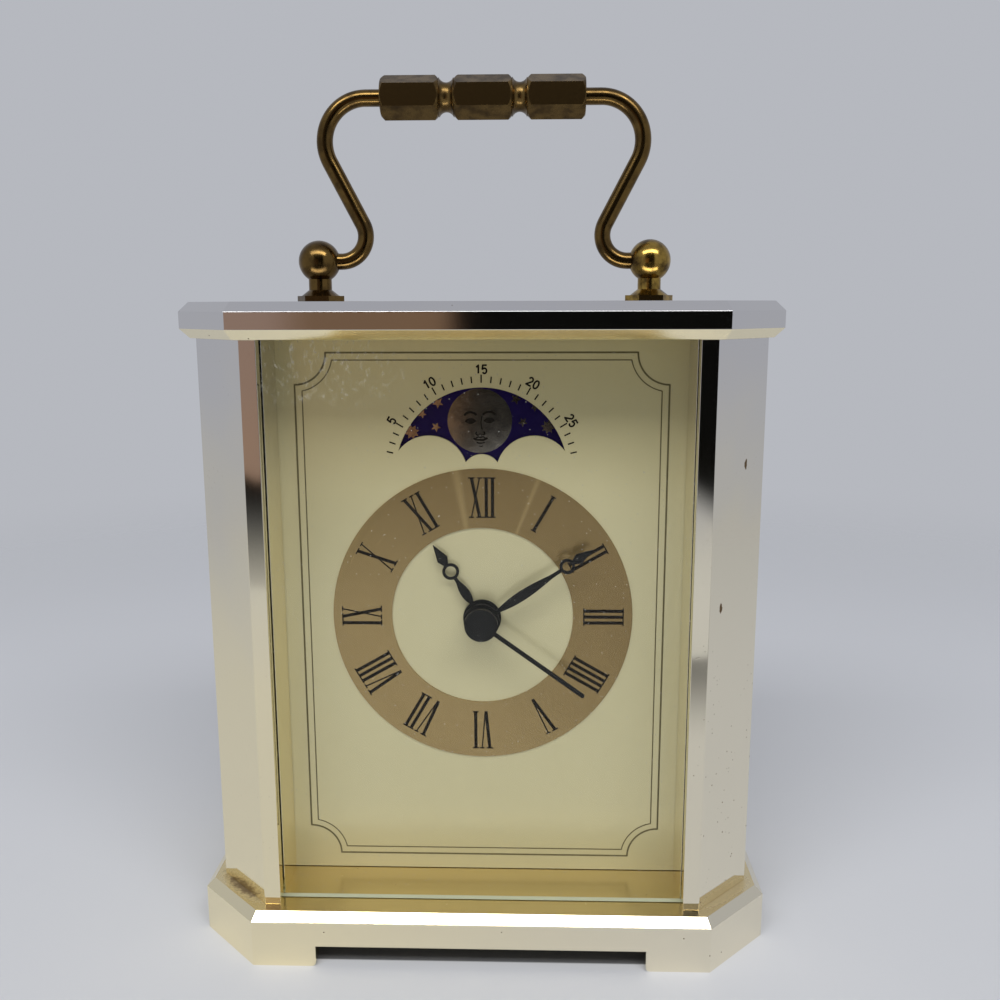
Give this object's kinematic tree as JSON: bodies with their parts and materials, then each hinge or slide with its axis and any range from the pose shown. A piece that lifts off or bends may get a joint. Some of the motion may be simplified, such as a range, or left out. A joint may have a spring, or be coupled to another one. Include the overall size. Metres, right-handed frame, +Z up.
{
  "type": "moon phase desk clock",
  "caption": "Moon phase desk clock: pale gold case with cut corners, glass front, folding handle, hinged rear door and battery movement with three hands and a moon disc.",
  "frame": {"origin": "middle of the case in plan, on the plane that the feet stand on", "axes": "+X right seen from the front, +Y to the rear door, +Z up; the dial faces -Y"},
  "size_m": [0.116, 0.066, 0.1742],
  "materials": {
    "case_gold": "polished pale gold anodised, stained and pitted in places",
    "aged_brass": "aged polished brass, darkened",
    "dial_metal": "satin pale champagne lacquer",
    "chapter_bronze": "circular brushed bronze gold",
    "glass": "clear, polished",
    "black_hand": "semi-matt black",
    "night_blue": "printed deep blue",
    "plain_brass": "stamped, bright",
    "steel": "plain",
    "nylon": "moulded natural",
    "case_black": "moulded, matt",
    "winding": "enamelled copper wire",
    "board_green": "solder resist",
    "cell": "plain sleeve, no label",
    "magnet": "ferrite, ground"
  },
  "bodies": {
    "case": {"base": "case_gold", "top_plate": "case_gold", "left_side": "case_gold", "right_side": "case_gold", "tie_screws": "steel", "front_glass": "glass", "dial_plate": "dial_metal", "chapter_ring": "chapter_bronze", "dial_studs": "plain_brass", "stud_clips": "steel", "moon_jumper": "steel", "stator": "steel", "coil_core": "steel", "coil": "winding", "circuit_board": "board_green", "driver_chip": "case_black", "quartz_crystal": "steel", "train_bridge": "nylon", "movement_front": "case_black", "movement_back": "case_black", "movement_screws": "steel", "battery": "cell", "contact_plus": "steel", "contact_minus": "steel", "left_post": "aged_brass", "right_post": "aged_brass", "post_nuts": "steel", "hinge_pins": "steel", "door_magnet": "magnet"},
    "hour": {"hour_hand": "black_hand", "hour_wheel": "nylon"},
    "minute": {"minute_hand": "black_hand", "minute_arbor": "plain_brass"},
    "second": {"second_hand": "black_hand", "second_wheel": "nylon"},
    "moon": {"moon_disc": "night_blue"},
    "day": {"day_wheel": "nylon"},
    "motion": {"minute_wheel": "nylon"},
    "centre": {"centre_wheel": "plain_brass"},
    "third": {"third_wheel": "nylon"},
    "step": {"step_wheel": "nylon"},
    "rotor": {"rotor": "steel"},
    "time_set": {"time_knob": "case_black"},
    "moon_set": {"moon_knob": "case_black"},
    "handle": {"left_rod": "aged_brass", "right_rod": "aged_brass", "handle_grip": "aged_brass"},
    "door": {"rear_door": "case_gold", "door_knob": "aged_brass"}
  },
  "joints": [
    {"name": "minute_turn", "type": "hinge", "parent": "case", "child": "minute", "pos_m": [0, 0, 0.0671], "axis": [0, 1, 0], "continuous": true},
    {"name": "hour_turn", "type": "hinge", "parent": "case", "child": "hour", "pos_m": [0, 0, 0.0671], "axis": [0, 1, 0], "continuous": true},
    {"name": "second_turn", "type": "hinge", "parent": "case", "child": "second", "pos_m": [0, 0, 0.0671], "axis": [0, 1, 0], "continuous": true},
    {"name": "moon_turn", "type": "hinge", "parent": "case", "child": "moon", "pos_m": [0, 0, 0.0964], "axis": [0, 1, 0], "continuous": true, "deforming": ["moon_jumper"]},
    {"name": "motion_turn", "type": "hinge", "parent": "case", "child": "motion", "pos_m": [-0.0096, 0, 0.0671], "axis": [0, 1, 0], "continuous": true},
    {"name": "day_turn", "type": "hinge", "parent": "case", "child": "day", "pos_m": [0.01058, 0, 0.07276], "axis": [0, 1, 0], "continuous": true},
    {"name": "time_set_turn", "type": "hinge", "parent": "case", "child": "time_set", "pos_m": [-0.0192, 0, 0.0671], "axis": [0, 1, 0], "continuous": true},
    {"name": "centre_turn", "type": "hinge", "parent": "case", "child": "centre", "pos_m": [0, 0, 0.0671], "axis": [0, 1, 0], "continuous": true},
    {"name": "third_turn", "type": "hinge", "parent": "case", "child": "third", "pos_m": [0.00924, 0, 0.07141], "axis": [0, 1, 0], "continuous": true},
    {"name": "step_turn", "type": "hinge", "parent": "case", "child": "step", "pos_m": [-0.00438, 0, 0.07468], "axis": [0, 1, 0], "continuous": true},
    {"name": "rotor_turn", "type": "hinge", "parent": "case", "child": "rotor", "pos_m": [-0.00438, 0, 0.08068], "axis": [0, 1, 0], "continuous": true},
    {"name": "moon_set_turn", "type": "hinge", "parent": "case", "child": "moon_set", "pos_m": [-0.01739, 0, 0.0833], "axis": [0, 1, 0], "continuous": true},
    {"name": "handle_fold", "type": "hinge", "parent": "case", "child": "handle", "pos_m": [0, 0, 0.1381], "axis": [1, 0, 0], "range_deg": [-96, 96]},
    {"name": "door_swing", "type": "hinge", "parent": "case", "child": "door", "pos_m": [0.0383, 0.0275, 0.0671], "axis": [0, 0, -1], "range_deg": [0, 105]}
  ],
  "couplings": [
    {"joint": "hour_turn", "follows": "minute_turn", "ratio": 0.083333},
    {"joint": "motion_turn", "follows": "minute_turn", "ratio": -0.33333},
    {"joint": "time_set_turn", "follows": "minute_turn", "ratio": 1},
    {"joint": "day_turn", "follows": "minute_turn", "ratio": -0.041667},
    {"joint": "third_turn", "follows": "second_turn", "ratio": -0.13333},
    {"joint": "centre_turn", "follows": "second_turn", "ratio": 0.016667},
    {"joint": "step_turn", "follows": "second_turn", "ratio": -6},
    {"joint": "rotor_turn", "follows": "second_turn", "ratio": 30},
    {"joint": "moon_set_turn", "follows": "moon_turn", "ratio": -7.375}
  ]
}
